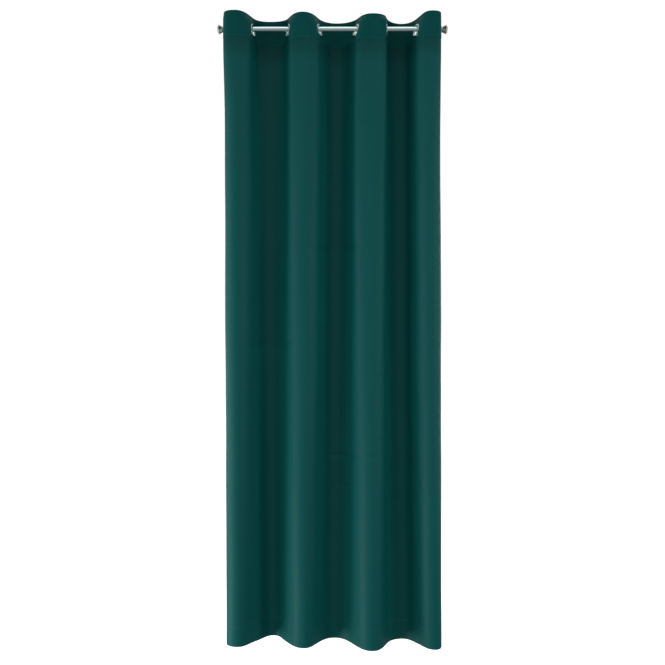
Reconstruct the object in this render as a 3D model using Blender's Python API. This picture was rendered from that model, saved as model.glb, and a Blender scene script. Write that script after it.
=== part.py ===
"""Blackout curtain that hangs in soft folds from eyelet rings on a round rod with flared end knobs.

The origin lies on the rod's axis at mid length. X runs along the rod, -Y faces the room and +Z is up.
All lengths are in metres and all angles in degrees.
"""

import math
from collections import namedtuple

import bmesh
import bpy
from mathutils import Matrix, Vector

# Cloth, as cut and sewn
CLOTH_HEIGHT = 2.500
HEADING_HEIGHT = 0.100
TOP_EDGE_Z = 0.048
CLOTH_THICKNESS = 0.002
HEADING_THICKNESS = 0.003
SEAM_GAP = 0.0003
HEADING_SWAY = 0.007
RING_TOP_Z = 0.022
FLAT_AT_TOP = 0.010
FLAT_AT_RING = 0.030
FLAT_BELOW = 0.012
FLAT_FADE_HEIGHT = 0.400
BEND_FULLNESS = 0.11
END_FULLNESS = 0.37

# Rod and its end knobs
ROD_RADIUS = 0.010
ROD_HALF_LENGTH = 0.446
FINIAL_START_X = 0.4345
FIT_GAP = 0.0003

# Eyelet rings
RING_OUTER_RADIUS = 0.028
RING_INNER_RADIUS = 0.018
RING_BARREL_RADIUS = 0.0202
RING_GROOVE_HALF = 0.0018
HOLE_RADIUS = RING_BARREL_RADIUS + FIT_GAP

# Fineness of the solids
ROUND_STEPS = 24
BEND_STEPS = 4
MARGIN_STEPS = 2
PANEL_ROWS = 18

HEADING_BOTTOM_Z = TOP_EDGE_Z - HEADING_HEIGHT
HEM_Z = TOP_EDGE_Z - CLOTH_HEIGHT
HEADING_HEIGHTS = (TOP_EDGE_Z, (TOP_EDGE_Z + RING_TOP_Z) / 2, RING_TOP_Z, HEADING_BOTTOM_Z)

# Each fold turns at a crest, toward the room, or a valley, toward the wall. Its turn lies at x and y
# at the top edge and at the hem, and mid_shift moves it sideways halfway down.
Fold = namedtuple("Fold", "name x_top y_top x_hem y_hem mid_shift")
FOLDS = (
    Fold("crest_1", -0.382, -0.073, -0.374, -0.036, 0.000),
    Fold("valley_1", -0.252, 0.043, -0.241, 0.080, 0.000),
    Fold("crest_2", -0.117, -0.056, -0.113, -0.047, 0.002),
    Fold("valley_2", 0.019, 0.059, 0.008, 0.054, -0.002),
    Fold("crest_3", 0.158, -0.041, 0.156, -0.073, -0.003),
    Fold("valley_3", 0.282, 0.063, 0.284, 0.046, -0.004),
    Fold("crest_4", 0.390, -0.068, 0.403, -0.061, -0.005),
)

# Between two turns the cloth runs straight through an eyelet. Going left to right it runs toward the
# wall at a positive turn angle and toward the room at a negative one. It turns by turn_top at the top
# edge, turn_rod at the ring and turn_hem at the hem, and leans sideways by lean for each metre of drop
# through the heading.
Flank = namedtuple("Flank", "name x_rod turn_top turn_rod lean x_hem y_hem turn_hem mid_shift")
FLANKS = (
    Flank("eyelet_1", -0.4255, -98, -97, -0.01, -0.421, 0.020, -96, -0.001),
    Flank("eyelet_2", -0.318, 67, 77, 0.06, -0.309, 0.020, 47, 0.002),
    Flank("eyelet_3", -0.177, -64, -71, -0.09, -0.186, 0.018, -57, -0.002),
    Flank("eyelet_4", -0.053, 66, 72, 0.17, -0.060, 0.003, 57, 0.004),
    Flank("eyelet_5", 0.095, -63, -68, -0.24, 0.084, -0.007, -58, -0.003),
    Flank("eyelet_6", 0.2155, 74, 84, 0.02, 0.212, -0.013, 67, -0.002),
    Flank("eyelet_7", 0.335, -69, -71, -0.16, 0.342, -0.006, -56, -0.006),
    Flank("eyelet_8", 0.4253, 97, 94, 0.01, 0.430, 0.018, 96, 0.002),
)

# The free side edges of the cloth, behind the rod
Edge = namedtuple("Edge", "name x_top y_top x_hem y_hem")
EDGES = (
    Edge("left", -0.412, 0.059, -0.405, 0.076),
    Edge("right", 0.411, 0.059, 0.413, 0.078),
)

# Ring profile as radius and distance from the ring's middle plane, one half. The first points round
# the mouth that the rod passes through.
RING_HALF_PROFILE = (
    (RING_INNER_RADIUS, 0.0024),
    (0.0192, 0.0036),
    (0.0238, 0.0040),
    (0.0272, 0.0031),
    (RING_OUTER_RADIUS, RING_GROOVE_HALF),
    (RING_BARREL_RADIUS, RING_GROOVE_HALF),
)
MOUTH_POINTS = 3

# Knob profile as distance outward from its inner end and radius, from the socket's floor round to the tip
SOCKET_RADIUS = ROD_RADIUS + FIT_GAP
SOCKET_DEPTH = ROD_HALF_LENGTH - FINIAL_START_X + FIT_GAP
FINIAL_PROFILE = (
    (SOCKET_DEPTH, 0.0),
    (SOCKET_DEPTH, SOCKET_RADIUS),
    (0.0, SOCKET_RADIUS),
    (0.0, 0.0112),
    (0.0008, 0.0117),
    (0.0058, 0.0117),
    (0.0168, 0.0181),
    (0.0180, 0.0187),
    (0.0194, 0.0181),
    (0.0220, 0.0150),
    (0.0243, 0.0092),
    (0.0252, 0.0),
)


def clear_scene():
    for obj in list(bpy.data.objects):
        bpy.data.objects.remove(obj, do_unlink=True)


def make_material(name, colour, roughness, metallic):
    material = bpy.data.materials.new(name)
    material.use_nodes = True
    shader = material.node_tree.nodes["Principled BSDF"]
    shader.inputs["Base Color"].default_value = (*colour, 1.0)
    shader.inputs["Roughness"].default_value = roughness
    shader.inputs["Metallic"].default_value = metallic
    return material


def object_from_bmesh(name, work, material):
    bmesh.ops.recalc_face_normals(work, faces=work.faces)
    mesh = bpy.data.meshes.new(name)
    work.to_mesh(mesh)
    work.free()
    mesh.shade_smooth()
    mesh.set_sharp_from_angle(angle=math.radians(40))
    obj = bpy.data.objects.new(name, mesh)
    obj.data.materials.append(material)
    bpy.context.scene.collection.objects.link(obj)
    return obj


def mix(start, end, share):
    return start + (end - start) * share


def direction(degrees):
    turn = math.radians(degrees)
    return Vector((math.cos(turn), math.sin(turn)))


def soft_step(value):
    held = min(max(value, 0.0), 1.0)
    return held * held * (3.0 - 2.0 * held)


def drop_share(z):
    """How far z lies down the panel, 0 at the heading's lower edge and 1 at the hem."""
    return min(max((HEADING_BOTTOM_Z - z) / (HEADING_BOTTOM_Z - HEM_Z), 0.0), 1.0)


def top_share(z):
    """How far z lies up from the rings, 0 at their tops and 1 at the top edge."""
    return soft_step((z - RING_TOP_Z) / (TOP_EDGE_Z - RING_TOP_Z))


def softened(z):
    """How far the cloth has lost the heading's stiffness, 0 in the heading and 1 well below it."""
    return soft_step((HEADING_BOTTOM_Z - z) / FLAT_FADE_HEIGHT)


def flat_half(z):
    """Half the length of the straight stretch through an eyelet, longest where it holds the ring."""
    return mix(mix(FLAT_AT_RING, FLAT_BELOW, softened(z)), FLAT_AT_TOP, top_share(z))


def flank_run(flank, z):
    """The direction in which the cloth runs through an eyelet at height z."""
    turn = mix(flank.turn_rod, flank.turn_hem, drop_share(z))
    return direction(mix(turn, flank.turn_top, top_share(z)))


def fold_point(fold, z):
    """Where the fold turns at height z. The heading sways toward the wall as it goes down."""
    down = drop_share(z)
    in_heading = min(max((TOP_EDGE_Z - z) / HEADING_HEIGHT, 0.0), 1.0)
    x = mix(fold.x_top, fold.x_hem, down) + fold.mid_shift * math.sin(math.pi * down)
    y = mix(fold.y_top + HEADING_SWAY * in_heading, fold.y_hem, down)
    return Vector((x, y))


def flank_point(flank, z):
    """The middle of the straight stretch between two folds at height z."""
    down = drop_share(z)
    held_z = max(z, HEADING_BOTTOM_Z)
    x_heading = flank.x_rod - flank.lean * held_z
    x = mix(x_heading, flank.x_hem, down) + flank.mid_shift * math.sin(math.pi * down)
    return Vector((x, mix(0.0, flank.y_hem, down)))


def edge_point(edge, z):
    down = drop_share(z)
    return Vector((mix(edge.x_top, edge.x_hem, down), mix(edge.y_top, edge.y_hem, down)))


def bend(start, start_run, end, end_run, steps, fullness):
    """Points and running directions along a smooth bend, without its last point.

    The pull at both ends grows with the turn, so that a tight bend stays as round as folded cloth.
    """
    reach = (end - start).length
    turn = start_run.angle(end_run)
    pull = reach * (1.0 + fullness * turn)
    m0 = start_run * pull
    m1 = end_run * pull
    rows = []
    for step in range(steps):
        t = step / steps
        point = (
            start * (2 * t**3 - 3 * t**2 + 1)
            + m0 * (t**3 - 2 * t**2 + t)
            + end * (3 * t**2 - 2 * t**3)
            + m1 * (t**3 - t**2)
        )
        run = (
            (end - start) * (6 * t - 6 * t**2)
            + m0 * (3 * t**2 - 4 * t + 1)
            + m1 * (3 * t**2 - 2 * t)
        )
        rows.append((point, run.normalized()))
    return rows


def plan_curve(z):
    """Points and running directions of the cloth's middle line at height z, left edge to right edge."""
    along_fold = Vector((1.0, 0.0))
    half = flat_half(z)
    end_fullness = mix(END_FULLNESS, BEND_FULLNESS, softened(z))
    left = edge_point(EDGES[0], z)
    right = edge_point(EDGES[1], z)
    previous = (left, None, MARGIN_STEPS)
    rows = []
    for index, flank in enumerate(FLANKS):
        run = flank_run(flank, z)
        centre = flank_point(flank, z)
        enter = centre - run * half
        leave = centre + run * half
        at_left, at_right = index == 0, index + 1 == len(FLANKS)
        start, start_run, steps = previous
        start_run = start_run or (enter - start).normalized()
        rows += bend(start, start_run, enter, run, steps, end_fullness if at_right else BEND_FULLNESS)
        rows.append((enter, run))
        if not at_right:
            turn = fold_point(FOLDS[index], z)
            full = end_fullness if at_left else BEND_FULLNESS
            rows += bend(leave, run, turn, along_fold, BEND_STEPS, full)
            previous = (turn, along_fold, BEND_STEPS)
        else:
            rows += bend(leave, run, right, (right - leave).normalized(), MARGIN_STEPS, BEND_FULLNESS)
            rows.append((right, (right - leave).normalized()))
    return rows


def cloth_solid(name, heights, thickness, material):
    """A closed sheet of even thickness through the plan curves at the heights, from the top down."""
    work = bmesh.new()
    sides = ([], [])
    row_count = len(heights) - 1
    for z in heights:
        curve = plan_curve(z)
        for side, sign in zip(sides, (1.0, -1.0)):
            line = []
            for point, run in curve:
                out = Vector((run.y, -run.x)) * (sign * thickness / 2)
                line.append(work.verts.new((point.x + out.x, point.y + out.y, z)))
            side.append(line)
    room, wall = sides
    columns = len(room[0])
    for row in range(row_count):
        for col in range(columns - 1):
            for side in sides:
                upper, lower = side[row], side[row + 1]
                work.faces.new((upper[col], upper[col + 1], lower[col + 1], lower[col]))
    for row in (0, row_count):
        for col in range(columns - 1):
            work.faces.new((room[row][col], room[row][col + 1], wall[row][col + 1], wall[row][col]))
    for col in (0, columns - 1):
        for row in range(row_count):
            work.faces.new((room[row][col], room[row + 1][col], wall[row + 1][col], wall[row][col]))
    return object_from_bmesh(name, work, material)


def turned_solid(name, profile, material):
    """A closed profile of (radius, height) turned once round Z. Points on the axis close the solid."""
    work = bmesh.new()
    rings = []
    for radius, height in profile:
        if radius == 0.0:
            rings.append([work.verts.new((0.0, 0.0, height))] * ROUND_STEPS)
            continue
        ring = []
        for step in range(ROUND_STEPS):
            turn = 2 * math.pi * step / ROUND_STEPS
            ring.append(work.verts.new((radius * math.cos(turn), radius * math.sin(turn), height)))
        rings.append(ring)
    starts_on_axis = profile[0][0] == 0.0
    pairs = list(zip(rings, rings[1:]))
    if not starts_on_axis:
        pairs.append((rings[-1], rings[0]))
    for lower, upper in pairs:
        for step in range(ROUND_STEPS):
            after = (step + 1) % ROUND_STEPS
            corners = [lower[step], lower[after], upper[after], upper[step]]
            work.faces.new(list(dict.fromkeys(corners)))
    return object_from_bmesh(name, work, material)


def ring_axes(flank):
    """The eyelet's own axes: along the cloth, up the cloth, and through the ring."""
    run = direction(flank.turn_rod)
    along = Vector((run.x, run.y, 0.0))
    up_flank = Vector((-flank.lean, 0.0, 1.0))
    through = along.cross(up_flank).normalized()
    return along, through.cross(along), through


def ring_centre(flank):
    """Where the ring's middle hangs, with the top of its mouth a fit gap above the rod."""
    along, upward, through = ring_axes(flank)
    clear = ROD_RADIUS + FIT_GAP
    lowest = -ROD_RADIUS
    for radius, height in RING_HALF_PROFILE[:MOUTH_POINTS]:
        for step in range(2 * ROUND_STEPS):
            turn = math.pi * step / ROUND_STEPS
            reach = radius if step % 2 == 0 else radius * math.cos(math.pi / ROUND_STEPS)
            rim = (along * math.cos(turn) + upward * math.sin(turn)) * reach
            for place in (rim + through * height, rim - through * height):
                if place.z > 0.0 and abs(place.y) < clear:
                    lowest = max(lowest, math.sqrt(clear**2 - place.y**2) - place.z)
    return Vector((flank.x_rod - flank.lean * lowest, 0.0, lowest))


def ring_matrix(flank):
    along, upward, through = ring_axes(flank)
    turn = Matrix((along, upward, through)).transposed()
    return Matrix.Translation(ring_centre(flank)) @ turn.to_4x4()


def make_eyelets(material):
    lower = tuple((radius, -height) for radius, height in reversed(RING_HALF_PROFILE))
    for flank in FLANKS:
        ring = turned_solid(flank.name, RING_HALF_PROFILE + lower, material)
        ring.matrix_world = ring_matrix(flank)


def make_heading(material):
    heading = cloth_solid("heading", HEADING_HEIGHTS, HEADING_THICKNESS, material)
    for flank in FLANKS:
        work = bmesh.new()
        bmesh.ops.create_cone(
            work,
            cap_ends=True,
            segments=ROUND_STEPS,
            radius1=HOLE_RADIUS,
            radius2=HOLE_RADIUS,
            depth=4 * HEADING_THICKNESS,
        )
        cutter = object_from_bmesh(f"cut_{flank.name}", work, material)
        cutter.matrix_world = ring_matrix(flank)
        cutter.hide_render = True
        cutter.display_type = "WIRE"
        cut = heading.modifiers.new(cutter.name, "BOOLEAN")
        cut.operation = "DIFFERENCE"
        cut.object = cutter


def make_panel(material):
    top = HEADING_BOTTOM_Z - SEAM_GAP
    heights = [mix(top, HEM_Z, row / PANEL_ROWS) for row in range(PANEL_ROWS + 1)]
    cloth_solid("curtain_panel", heights, CLOTH_THICKNESS, material)


def make_rod(material):
    profile = (
        (0.0, -ROD_HALF_LENGTH),
        (ROD_RADIUS, -ROD_HALF_LENGTH),
        (ROD_RADIUS, ROD_HALF_LENGTH),
        (0.0, ROD_HALF_LENGTH),
    )
    rod = turned_solid("rod", profile, material)
    rod.rotation_euler = (0.0, math.radians(90), 0.0)


def make_finials(material):
    profile = tuple((radius, FINIAL_START_X + outward) for outward, radius in FINIAL_PROFILE)
    for name, quarter_turn in (("finial_left", -90), ("finial_right", 90)):
        finial = turned_solid(name, profile, material)
        finial.rotation_euler = (0.0, math.radians(quarter_turn), 0.0)


def main():
    clear_scene()
    make_panel(make_material("panel cloth", (0.005, 0.060, 0.057), 0.62, 0.0))
    make_heading(make_material("heading cloth", (0.004, 0.049, 0.047), 0.66, 0.0))
    make_eyelets(make_material("ring metal", (0.72, 0.78, 0.77), 0.16, 1.0))
    make_rod(make_material("rod metal", (0.62, 0.64, 0.65), 0.28, 1.0))
    make_finials(make_material("knob metal", (0.20, 0.19, 0.19), 0.18, 1.0))


main()
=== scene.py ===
"""Blackout curtain that hangs in soft folds from eyelet rings on a round rod with flared end knobs.

Each operator makes one piece, or a group of like pieces, around the frame, and the last one sets up
the studio. X runs along the rod, -Y faces the room and +Z is up. The origin lies on the rod's axis at
mid length. All lengths are in metres and all angles in degrees.
"""

import math
from collections import namedtuple
from functools import partial

import bmesh
import bpy
import numpy as np
from bpy.props import FloatProperty, FloatVectorProperty, PointerProperty
from mathutils import Matrix, Vector


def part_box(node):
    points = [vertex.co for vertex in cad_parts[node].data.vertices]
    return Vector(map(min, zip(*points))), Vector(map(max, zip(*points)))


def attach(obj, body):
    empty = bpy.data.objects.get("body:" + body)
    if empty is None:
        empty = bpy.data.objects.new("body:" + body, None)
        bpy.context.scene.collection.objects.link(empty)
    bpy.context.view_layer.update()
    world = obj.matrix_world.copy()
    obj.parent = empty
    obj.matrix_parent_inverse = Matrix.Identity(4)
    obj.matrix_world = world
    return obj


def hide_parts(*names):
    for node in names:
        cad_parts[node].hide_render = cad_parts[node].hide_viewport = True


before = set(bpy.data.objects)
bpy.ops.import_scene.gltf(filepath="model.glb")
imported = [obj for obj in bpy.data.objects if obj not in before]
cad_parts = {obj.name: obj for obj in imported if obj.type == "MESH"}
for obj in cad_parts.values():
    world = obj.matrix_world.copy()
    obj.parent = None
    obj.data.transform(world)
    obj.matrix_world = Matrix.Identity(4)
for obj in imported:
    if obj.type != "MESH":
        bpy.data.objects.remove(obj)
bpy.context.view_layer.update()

bl_info = {
    "name": "Eyelet Curtain on a Rod",
    "version": (1, 0, 0),
    "blender": (4, 5, 0),
    "location": "View3D > Sidebar > Curtain",
    "description": "Hangs a blackout curtain from eyelet rings on a rod and sets up its studio",
    "category": "Object",
}

# Sizes that the frame gives
HEM_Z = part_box("curtain_panel")[0].z
HEADING_BOTTOM_Z, TOP_EDGE_Z = (corner.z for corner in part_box("heading"))
HEADING_HEIGHT = TOP_EDGE_Z - HEADING_BOTTOM_Z
KNOB_LOW, KNOB_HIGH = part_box("finial_right")
ROD_LOW, ROD_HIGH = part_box("rod")
ROD_RADIUS = (ROD_HIGH.z - ROD_LOW.z) / 2
ROD_HALF_LENGTH = ROD_HIGH.x

# The cloth's cut and the way in which it turns between its eyelets
CLOTH_WIDTH = 1.400
HEADING_SWAY = 0.007
RING_TOP_Z = 0.022
FLAT_AT_TOP = 0.010
FLAT_AT_RING = 0.030
FLAT_BELOW = 0.012
FLAT_FADE_HEIGHT = 0.400
BEND_FULLNESS = 0.11
END_FULLNESS = 0.37

# Each fold turns at a crest, toward the room, or a valley, toward the wall. Its turn lies at x and y
# at the top edge and at the hem, and mid_shift moves it sideways halfway down.
Turn = namedtuple("Turn", "name x_top y_top x_hem y_hem mid_shift")
FOLDS = (
    Turn("crest_1", -0.382, -0.073, -0.374, -0.036, 0.000),
    Turn("valley_1", -0.252, 0.043, -0.241, 0.080, 0.000),
    Turn("crest_2", -0.117, -0.056, -0.113, -0.047, 0.002),
    Turn("valley_2", 0.019, 0.059, 0.008, 0.054, -0.002),
    Turn("crest_3", 0.158, -0.041, 0.156, -0.073, -0.003),
    Turn("valley_3", 0.282, 0.063, 0.284, 0.046, -0.004),
    Turn("crest_4", 0.390, -0.068, 0.403, -0.061, -0.005),
)

# Between two turns the cloth runs straight through an eyelet. Going left to right it runs toward the
# wall at a positive turn angle and toward the room at a negative one. It turns by turn_top at the top
# edge, turn_rod at the ring and turn_hem at the hem, and leans sideways by lean for each metre of drop
# through the heading.
Flank = namedtuple("Flank", "name x_rod turn_top turn_rod lean x_hem y_hem turn_hem mid_shift")
FLANKS = (
    Flank("eyelet_1", -0.4255, -98, -97, -0.01, -0.421, 0.020, -96, -0.001),
    Flank("eyelet_2", -0.318, 67, 77, 0.06, -0.309, 0.020, 47, 0.002),
    Flank("eyelet_3", -0.177, -64, -71, -0.09, -0.186, 0.018, -57, -0.002),
    Flank("eyelet_4", -0.053, 66, 72, 0.17, -0.060, 0.003, 57, 0.004),
    Flank("eyelet_5", 0.095, -63, -68, -0.24, 0.084, -0.007, -58, -0.003),
    Flank("eyelet_6", 0.2155, 74, 84, 0.02, 0.212, -0.013, 67, -0.002),
    Flank("eyelet_7", 0.335, -69, -71, -0.16, 0.342, -0.006, -56, -0.006),
    Flank("eyelet_8", 0.4253, 97, 94, 0.01, 0.430, 0.018, 96, 0.002),
)

# The free side edges of the cloth, behind the rod, in the same terms as the folds
EDGES = (
    Turn("left", -0.412, 0.059, -0.405, 0.076, 0.000),
    Turn("right", 0.411, 0.059, 0.413, 0.078, 0.000),
)

# Creases pressed in: where the middle lies across the cloth and below the rod, half the
# length, the angle from level, half the width, and how far it stands toward the room
Crease = namedtuple("Crease", "name across z half_length angle half_width rise")
CREASES = (
    Crease("valley_1_high", 0.411, -0.288, 0.070, -12, 0.008, -0.0015),
    Crease("crest_3_slant", 0.818, -0.276, 0.090, 14, 0.010, -0.0023),
    Crease("crest_3_first", 0.890, -0.553, 0.055, 0, 0.006, -0.0015),
    Crease("valley_2_first", 0.662, -0.575, 0.082, 4, 0.006, -0.0015),
    Crease("valley_3_first", 1.131, -0.541, 0.051, -11, 0.006, -0.0013),
    Crease("valley_2_wide", 0.700, -0.876, 0.187, 3, 0.020, -0.0042),
    Crease("crest_4_tick", 1.272, -1.102, 0.034, 7, 0.007, -0.0019),
    Crease("valley_1_middle", 0.338, -1.261, 0.137, -1, 0.016, -0.0027),
    Crease("crest_3_middle", 0.849, -1.384, 0.055, 4, 0.006, -0.0019),
    Crease("crest_3_long", 0.772, -1.705, 0.134, 3, 0.007, -0.0027),
    Crease("valley_2_low", 0.733, -1.827, 0.030, 7, 0.006, -0.0015),
    Crease("valley_3_low", 1.019, -1.890, 0.066, -8, 0.007, -0.0013),
    Crease("crest_4_low", 1.206, -1.858, 0.058, -53, 0.008, -0.0019),
    Crease("crest_1_slant", 0.223, -1.411, 0.103, -63, 0.009, -0.0017),
    Crease("crest_2_edge", 0.478, -1.737, 0.095, -88, 0.006, 0.0013),
    Crease("crest_2_mark", 0.487, -2.259, 0.016, -68, 0.005, -0.0013),
    Crease("left_line", 0.224, -0.618, 0.065, -90, 0.006, 0.0011),
)

# Soft swells of the cloth: where the middle lies, half the width and height, and how far it stands out
Swell = namedtuple("Swell", "name across z half_width half_height rise")
SWELLS = (
    Swell("crest_2", 0.502, -0.974, 0.040, 0.090, 0.0035),
    Swell("crest_3", 0.860, -0.820, 0.040, 0.080, 0.0040),
    Swell("crest_4_high", 1.243, -0.587, 0.035, 0.080, 0.0030),
    Swell("crest_4_middle", 1.233, -0.935, 0.035, 0.090, 0.0030),
    Swell("valley_1", 0.333, -1.320, 0.045, 0.050, 0.0025),
)

# Steps of each bend or straight stretch of the plan curve
CURVE_STEPS = 24

# Steps round the turned pieces, and the distances between the rows and columns of the two sheets' meshes
ROD_STEPS = 72
KNOB_STEPS = 96
RING_STEPS = 96
HOLE_STEPS = 72
PANEL_ROW_STEP = 0.022
PANEL_COLUMN_STEP = 0.009
HEADING_ROW_STEP = 0.005
HEADING_COLUMN_STEP = 0.003

# Rounding of the cloth's edges, half the width of a seam's groove and how far a hem's seam lies inside
# the hem's own edge
EDGE_ROUNDING = 0.0010
SEAM_HALF_WIDTH = 0.0012
SEAM_INSET = 0.0025

# Steps of the mesh at an edge and at a seam, and at a crease as a share of half its width. Beside such a
# band the steps grow by a share of the way from it. A seam's line leaves out a few steps at both ends.
EDGE_STEP = 0.0003
SEAM_STEP = 0.0007
CREASE_STEP = 0.6
SPACING_GROWTH = 0.8
SEAM_ENDS = 5

# Low relief of the sewing: how far a seam dips, how the cloth gathers below the heading, how the thread
# ripples the heading, how the rings pull at it, how many layers a turned hem adds, and over what height
# below the heading the creases and swells set in
PANEL_SEAM_DIP = 0.0002
HEADING_SEAM_DIP = 0.00035
GATHER_DEPTH = 0.0005
GATHER_HEIGHT = 0.05
RIPPLE_DEPTH = 0.00022
RIPPLE_HEIGHT = 0.008
PULL_DEPTH = 0.0003
PULL_START = 0.027
PULL_START_WIDTH = 0.004
PULL_END = 0.046
PULL_END_WIDTH = 0.014
PULL_FOLDS = 9
HEM_LAYER = 1.1
CREASE_FADE_HEIGHT = 0.12

# Eyelet ring, one half, as radius and distance from the ring's middle plane
RING_GROOVE_HALF = 0.0016
RING_BARREL_RADIUS = 0.0202
RING_HOLE_RADIUS = 0.0205
RING_OUTLINE = (
    (0.01815, 0.0), (0.0180, 0.0003), (0.0180, 0.0014), (0.0182, 0.0027), (0.0191, 0.0036),
    (0.0213, 0.0041), (0.0238, 0.0041), (0.0262, 0.0036), (0.0276, 0.0027), (0.0280, 0.0021),
)
RING_RIM = ((0.0280, RING_GROOVE_HALF), (RING_BARREL_RADIUS, RING_GROOVE_HALF))

# Camera and the photograph that it matches
PHOTO_SIDE_PX = 665
PHOTO_MIDDLE_PX = 332.5
ROD_ROW_PX = 29.5
LEVEL_ROW_PX = 328.0
METRES_PER_PX = 0.003994

# Where the wide front light's middle lies, and its width and height
FRONT_LIGHT_Z = -1.2
FRONT_LIGHT_SIZE = (6.0, 4.5)

# Tall soft lights all round. The turn starts straight in front of the curtain and goes to the left, and
# each light faces the upright line through the origin at its own height.
LIGHT_WIDTH = 0.6
Light = namedtuple("Light", "name turn z height power")
LIGHTS = (
    Light("high_left_light", 80, -0.4, 1.4, 22.2),
    Light("left_light", 60, -2.0, 1.4, 21.1),
    Light("low_left_light", 75, -3.3, 1.0, 41.7),
    Light("edge_left_light", 97, -2.0, 1.4, 26.6),
    Light("high_right_light", -60, -0.6, 1.4, 17.1),
    Light("low_right_light", -60, -2.0, 1.4, 8.6),
    Light("edge_right_light", -90, -1.2, 2.4, 9.6),
    Light("back_left_light", 135, -1.2, 2.4, 20.0),
    Light("back_right_light", -135, -1.2, 2.4, 20.0),
)


def setting(kind, name, description, default, **limits):
    return kind(name=name, description=description, default=default, min=0.0, **limits)


length_property = partial(setting, FloatProperty, unit="LENGTH")
share_property = partial(setting, FloatProperty, max=1.0, subtype="FACTOR")
colour_property = partial(setting, FloatVectorProperty, size=3, max=1.0, subtype="COLOR")
# Five levels, from straight down to straight up
levels_property = partial(setting, FloatVectorProperty, size=5)


class CurtainClothSettings(bpy.types.PropertyGroup):
    """Sizes and colour of the cloth below the heading."""

    colour: colour_property("Colour", "Colour of the blackout cloth", (0.0006, 0.0635, 0.0608))
    shine: share_property("Shine", "Strength of the cloth's own soft shine", 0.10)
    thickness: length_property("Thickness", "Thickness of one layer of cloth", 0.0010)
    hem_depth: length_property("Hem depth", "Height of the cloth turned up at the bottom", 0.080)
    side_hem: length_property("Side hem", "Width of the cloth turned in at each side", 0.022)
    # Painted shade: over this height below the heading the cloth's colour is darkened, standing in for the
    # heading's shade.
    painted_shade_height: length_property("Painted shade height", "Height of the painted shade below the heading", 0.100)
    tuck: length_property("Tuck", "How far the cloth runs up inside the heading", 0.012)
    relief: share_property("Relief", "Strength of the creases and swells", 1.0)


class CurtainHeadingSettings(bpy.types.PropertyGroup):
    """Sizes and colour of the stiffened band that holds the rings."""

    colour: colour_property("Colour", "Colour of the heading cloth", (0.0004, 0.0515, 0.0495))
    shine: share_property("Shine", "Strength of the cloth's own soft shine", 0.05)
    thickness: length_property("Thickness", "Thickness of the doubled band", 0.0030)
    seam_inset: length_property("Seam inset", "Height of the seam above the band's lower edge", 0.006)


class CurtainStitchSettings(bpy.types.PropertyGroup):
    """Sizes and colour of the sewing thread."""

    colour: colour_property("Colour", "Colour of the sewing thread", (0.0060, 0.0740, 0.0700))
    length: length_property("Stitch length", "Length of one stitch", 0.0031)
    gap: length_property("Gap", "Gap between two stitches", 0.0009)
    radius: length_property("Thread radius", "Radius of the thread", 0.00032)


class CurtainRingSettings(bpy.types.PropertyGroup):
    """Finish of the eyelet rings."""

    colour: colour_property("Colour", "Colour of the ring metal", (0.30, 0.46, 0.44))
    roughness: share_property("Roughness", "Roughness of the polished metal", 0.20)


class CurtainRodSettings(bpy.types.PropertyGroup):
    """Finish of the rod."""

    colour: colour_property("Colour", "Colour of the rod metal", (0.72, 0.86, 0.87))
    roughness: share_property("Roughness", "Roughness of the satin metal", 0.15)


class CurtainKnobSettings(bpy.types.PropertyGroup):
    """Finish of the end knobs."""

    colour: colour_property("Colour", "Colour of the knob metal", (0.50, 0.46, 0.44))
    roughness: share_property("Roughness", "Roughness of the polished metal", 0.30)


class CurtainStudioSettings(bpy.types.PropertyGroup):
    """Camera, floor and lights of the studio."""

    camera_distance: length_property("Camera distance", "Distance from the camera to the rod", 3.0)
    light_distance: length_property("Light distance", "Distance from the lights to the curtain", 2.8)
    floor_drop: length_property("Floor drop", "Height of the hem above the floor", 0.15)
    sweep_radius: length_property("Sweep radius", "Radius of the round floor and wall", 5.5)
    sweep_height: length_property("Sweep height", "Height of the wall above the floor", 6.0)
    backdrop: colour_property("Backdrop", "Colour of the floor and wall", (0.62, 0.62, 0.62))
    glow: setting(FloatProperty, "Glow", "Light that the backdrop gives", 0.675)
    light_front: levels_property("Front", "Light from the front", (0.15, 0.28, 0.36, 0.52, 1.40))
    light_sides: levels_property("Sides", "Light from both sides", (0.15, 0.19, 0.41, 0.50, 1.40))
    light_back: levels_property("Back", "Light from the back", (0.15, 0.35, 0.70, 0.80, 1.40))
    front_power: setting(FloatProperty, "Front light", "Power of the wide front light", 36.0, unit="POWER")
    strength: setting(FloatProperty, "Strength", "How strong the soft lights all round are", 1.0)


def mix(start, end, share):
    return start + (end - start) * share


def soft_step(value):
    share = np.clip(value, 0.0, 1.0)
    return share * share * (3.0 - 2.0 * share)


def unit(vectors):
    return vectors / np.linalg.norm(vectors, axis=-1, keepdims=True)


def direction(degrees):
    turn = math.radians(degrees)
    return np.array((math.cos(turn), math.sin(turn)))


ALONG_ROD = direction(0)


def drop_share(z):
    """How far z lies down the panel, 0 at the heading's lower edge and 1 at the hem."""
    return min(max((HEADING_BOTTOM_Z - z) / (HEADING_BOTTOM_Z - HEM_Z), 0.0), 1.0)


def top_share(z):
    """How far z lies up from the rings, 0 at their tops and 1 at the top edge."""
    return float(soft_step((z - RING_TOP_Z) / (TOP_EDGE_Z - RING_TOP_Z)))


def softened(z):
    """How far the cloth has lost the heading's stiffness, 0 in the heading and 1 well below it."""
    return float(soft_step((HEADING_BOTTOM_Z - z) / FLAT_FADE_HEIGHT))


def flat_half(z):
    """Half the length of the straight stretch through an eyelet, longest where it holds the ring."""
    return mix(mix(FLAT_AT_RING, FLAT_BELOW, softened(z)), FLAT_AT_TOP, top_share(z))


def flank_run(flank, z):
    """The direction in which the cloth runs through an eyelet at height z."""
    turn = mix(flank.turn_rod, flank.turn_hem, drop_share(z))
    return direction(mix(turn, flank.turn_top, top_share(z)))


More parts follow.
